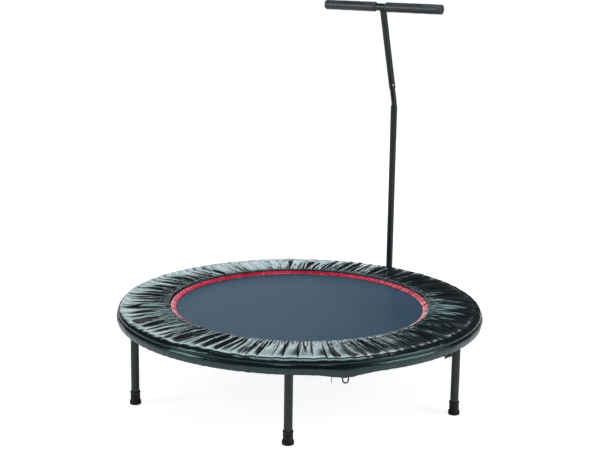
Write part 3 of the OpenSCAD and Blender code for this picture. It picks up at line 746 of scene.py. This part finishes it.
def foam_grip(name, inner, outer, node, seed):
    """A foam sleeve along X: turned about the bar with rounded ends and a barely uneven skin."""
    length = abs(outer - inner)
    edge_r, core = 0.0035, BAR_R + 0.0002
    quarter = np.radians(np.linspace(180, 90, 6))
    start = np.stack([edge_r + edge_r * np.cos(quarter), GRIP_R - edge_r + edge_r * np.sin(quarter)], axis=-1)
    body = np.stack([np.linspace(edge_r, length - edge_r, 60)[1:-1], np.full(58, GRIP_R)], axis=-1)
    finish = np.stack([length - start[::-1, 0], start[::-1, 1]], axis=-1)
    closed_end = np.array([[length, 0.006], [length, 0.0004], [length - 0.0022, 0.0004], [length - 0.0022, core]])
    line = np.vstack([[[0.0006, core]], start, body, finish, closed_end, [[0.0006, core]]])[:-1]
    turn = np.linspace(0, FULL_TURN, 48, endpoint=False)[:, None]
    rng = np.random.default_rng(seed)
    lengthwise = np.sin(line[None, :, 0] * 140 + rng.uniform(0, 6))
    uneven = 0.00018 * lengthwise * np.sin(2 * turn + rng.uniform(0, 6))
    radius = line[None, :, 1] + uneven * (line[None, :, 1] > BAR_R + 0.002)
    x = inner + np.sign(outer - inner) * line[None, :, 0] + 0 * turn
    spin = turn * np.sign(outer - inner)
    points = np.stack([x, radius * np.cos(spin), radius * np.sin(spin)], axis=-1)
    points = points.reshape(-1, 3) + bar_centre
    piece = make_piece(name, points, grid_faces(48, len(line), True, True)[:, ::-1])
    return dress(piece, grip_foam, "handle", [node])


left_low, left_high = low_high("grip_left")
foam_grip("foam_grip_left", float(left_high[0]), float(left_low[0]), "grip_left", 5)
foam_grip("foam_grip_right", float(grip_low[0]), float(grip_high[0]), "grip_right", 6)

# %% Rubber feet
FOOT_H = float(low_high("foot_1")[1][2])
FOOT_R = float(low_high("foot_1")[1][0]) - RING_R
SLEEVE_R = LEG_R + 0.0018
foot_line = [[0.0004, 0.0008], [FOOT_R - 0.0022, 0.0], [FOOT_R - 0.0006, 0.0004], [FOOT_R, 0.0016]]
RIBS, RIB_PITCH = 3, 0.0028
for rib in range(RIBS):
    rib_z = 0.0018 + RIB_PITCH * rib
    foot_line += [[FOOT_R, rib_z], [FOOT_R, rib_z + 0.0014],
                  [FOOT_R - 0.0009, rib_z + 0.0018], [FOOT_R - 0.0009, rib_z + 0.0024]]
foot_line += [[FOOT_R - 0.0004, 0.0104], [SLEEVE_R + 0.0006, 0.0122], [SLEEVE_R, 0.0138], [SLEEVE_R, 0.0325],
              [SLEEVE_R + 0.0006, 0.0331], [SLEEVE_R + 0.0008, 0.0345], [SLEEVE_R + 0.0005, 0.0358],
              [SLEEVE_R - 0.0004, FOOT_H], [LEG_R + 0.0003, FOOT_H], [LEG_R + 0.0003, 0.0080], [0.0004, 0.0080]]
foot_line = np.array(foot_line)
for number in range(1, LEGS + 1):
    low, high = low_high(f"foot_{number}")
    points, faces = lathe(foot_line, 64)
    points = points + [*((low + high) / 2)[:2], 0]
    foot = make_piece(f"rubber_foot_{number}", points, faces, sharp=48)
    dress(foot, rubber, "frame", [f"foot_{number}"])

# %% Weld beads


def weld_ring(curve, up, size, seed, ripples=26):
    """A bead along a closed curve whose thickness ripples like a row of weld puddles."""
    t = np.linspace(0, FULL_TURN, len(curve), endpoint=False)
    rng = np.random.default_rng(seed)
    thick = size * (1 + 0.16 * np.abs(np.sin(ripples * t / 2)) + 0.05 * np.sin(3 * t + rng.uniform(0, 6)))
    return tube(curve, up, thick, 8, True)


ring_t = np.linspace(0, FULL_TURN, 104, endpoint=False)
weld_grids = []
side = LEG_R * np.cos(ring_t)
under_tube = RING_Z - np.sqrt(TUBE_R ** 2 - side ** 2) - 0.0002
leg_curve = np.stack([RING_R + side, LEG_R * np.sin(ring_t), under_tube], axis=-1)
for number in range(LEGS):
    p, f = weld_ring(leg_curve, (0.01, 0.02, 1), 0.0016, 50 + number)
    weld_grids.append((turned(p, number * FULL_TURN / LEGS), f))
socket_welds = make_piece("socket_welds", *join_grids(weld_grids))
dress(socket_welds, powder_coat, "frame")

meet_x, meet_y = STEM_R * np.cos(ring_t), STEM_R * np.sin(ring_t)
meet_z = -np.sqrt(BAR_R ** 2 - meet_y ** 2) - 0.0002
curve = bar_centre + np.outer(meet_x, [1, 0, 0]) + np.outer(meet_y, lean_out) + np.outer(meet_z, lean_up)
bar_weld = make_piece("bar_weld", *weld_ring(curve, tuple(lean_up + [0.01, 0, 0]), 0.0013, 60))
dress(bar_weld, powder_coat, "handle")

# %% [markdown]
# The snap button's spring is a bent leaf inside the pole, whose front arm follows the button as it is pressed
# while its back arm stays against the tube. It keeps the model's own shape.

# %% Leaf spring of the snap button
press_axis = np.array(next(j for j in frame["joints"] if j["name"] == "button_press")["axis"], float)
press_axis /= np.linalg.norm(press_axis)
clip_mesh = frame["nodes"]["button_clip"].data
clip_points = np.empty(3 * len(clip_mesh.vertices), np.float32)
clip_mesh.vertices.foreach_get("co", clip_points)
clip_points = clip_points.reshape(-1, 3).astype(float)
clip_faces = np.array([tuple(polygon.vertices) for polygon in clip_mesh.polygons], np.int32)
button_leaf = make_piece("button_leaf", clip_points, clip_faces, sharp=30)
button_leaf.data.materials.append(zinc)
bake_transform(button_leaf)
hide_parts("button_clip")
print("leaf spring of", len(clip_faces), "triangles")

# %% [markdown]
# ## Finishes of the parts kept from the model
# Tubes, plates, bolts and plugs already have their true shape, so they only take a finish.

# %% Finishes for the kept parts
KEPT = {
    powder_coat: ["frame_ring", "pole_bracket", "lower_pole", "elbow_tube", "t_bar"]
                 + [f"leg_{k}" for k in range(1, LEGS + 1)],
    zinc: ["leg_plugs", "leg_studs", "v_rings", "bracket_bolts", "bracket_nuts", "clamp_screw", "stop_pin",
           "joint_screw"],
    moulded: ["clamp_knob", "pole_plug", "bar_plugs"],
    nickel: ["snap_button"],
    cord_finish: ["hem_elastic"],
}
for finish, nodes in KEPT.items():
    for node in nodes:
        shape = frame["nodes"][node]
        shape.data.materials.clear()
        shape.data.materials.append(finish)
    print(finish.name, "on", len(nodes), "kept parts")

# %% [markdown]
# ## Stage, lights and camera
# A plain pale floor and a soft studio: one broad lamp overhead, one low at the back left whose image runs
# along the pleats, and two fills from the right and the left front. The floor and the sky look white to
# the camera without lighting the object more than it needs. Near the object the floor glows a little less,
# so that it keeps the object's shadow.

# %% Floor and sky
floor_mesh = bpy.data.meshes.new("floor")
floor_mesh.from_pydata([(-30, -30, 0), (30, -30, 0), (30, 30, 0), (-30, 30, 0)], [], [(0, 1, 2, 3)])
floor = bpy.data.objects.new("floor", floor_mesh)
bpy.context.scene.collection.objects.link(floor)
pale = bpy.data.materials.new("pale floor")
pale.use_nodes = True
tree = pale.node_tree
matt = tree.nodes["Principled BSDF"]
matt.inputs["Base Color"].default_value = (0.7, 0.7, 0.7, 1)
matt.inputs["Roughness"].default_value = 0.9
glow = tree.nodes.new("ShaderNodeEmission")
path = tree.nodes.new("ShaderNodeLightPath")
mirrored = math_node(tree, "MULTIPLY", path.outputs["Is Glossy Ray"], 0.35)
seen = math_node(tree, "ADD", math_node(tree, "MAXIMUM", path.outputs["Is Camera Ray"],
                                        path.outputs["Is Transmission Ray"]), mirrored)
spot = tree.nodes.new("ShaderNodeTexCoord")
distance = tree.nodes.new("ShaderNodeVectorMath")
distance.operation = "LENGTH"
tree.links.new(spot.outputs["Object"], distance.inputs[0])
level = tree.nodes.new("ShaderNodeMapRange")
level.interpolation_type = "SMOOTHSTEP"
level.inputs["From Min"].default_value, level.inputs["From Max"].default_value = 0.6, 4.0
level.inputs["To Min"].default_value, level.inputs["To Max"].default_value = 0.87, 0.99
tree.links.new(distance.outputs["Value"], level.inputs["Value"])
tree.links.new(math_node(tree, "MULTIPLY", seen, level.outputs[0]), glow.inputs["Strength"])
both = tree.nodes.new("ShaderNodeAddShader")
tree.links.new(matt.outputs[0], both.inputs[0])
tree.links.new(glow.outputs[0], both.inputs[1])
tree.links.new(both.outputs[0], tree.nodes["Material Output"].inputs["Surface"])
glow.inputs["Color"].default_value = (1, 1, 1, 1)
floor_mesh.materials.append(pale)

world = bpy.data.worlds.new("studio sky")
bpy.context.scene.world = world
world.use_nodes = True
sky = world.node_tree
behind_light = sky.nodes["Background"]
behind_light.inputs["Color"].default_value = (1, 1, 1, 1)
sky_path = sky.nodes.new("ShaderNodeLightPath")
dim = sky.nodes.new("ShaderNodeMapRange")
dim.inputs["To Min"].default_value, dim.inputs["To Max"].default_value = 0.06, 1.0
sky.links.new(sky_path.outputs["Is Camera Ray"], dim.inputs["Value"])
sky.links.new(dim.outputs[0], behind_light.inputs["Strength"])


# %% Lamps


def softbox(name, place, aim, size, power, colour=(1.0, 1.0, 1.0)):
    """A rectangular area lamp at a place, facing a point."""
    data = bpy.data.lights.new(name, "AREA")
    data.shape, data.size, data.size_y, data.energy = "RECTANGLE", size[0], size[1], power
    data.color = colour
    lamp = bpy.data.objects.new(name, data)
    lamp.location = place
    lamp.rotation_euler = (Vector(aim) - Vector(place)).to_track_quat("-Z", "Y").to_euler()
    bpy.context.scene.collection.objects.link(lamp)


softbox("overhead softbox", (0.3, -0.2, 3.0), (0, 0, 0.2), (2.2, 1.6), 42)
softbox("backdrop softbox", (-2.97, 2.68, 1.62), (0, 0, 0.2), (3.2, 2.1), 49, (0.88, 0.98, 1.0))
softbox("right softbox", (3.2, 0.6, 1.4), (0, 0, 0.4), (2.4, 1.6), 34)
softbox("left front strip", (-1.9, -2.7, 1.5), (0, 0, 0.5), (0.9, 1.8), 22)
print(len(bpy.data.lights), "lamps")

# %% Camera
CAMERA_AT = (1.8753, -2.9046, 1.2209)
AZIMUTH, PITCH, ROLL = math.radians(32.89), math.radians(12.601), math.radians(0.831)
camera_data = bpy.data.cameras.new("camera")
camera_data.lens, camera_data.sensor_width = 76.63, 36
camera = bpy.data.objects.new("camera", camera_data)
camera.matrix_world = (Matrix.Translation(CAMERA_AT) @ Matrix.Rotation(AZIMUTH, 4, "Z")
                       @ Matrix.Rotation(math.pi / 2 - PITCH, 4, "X") @ Matrix.Rotation(ROLL, 4, "Z"))
bpy.context.scene.collection.objects.link(camera)
bpy.context.scene.camera = camera
bpy.context.scene.view_settings.view_transform = "Standard"
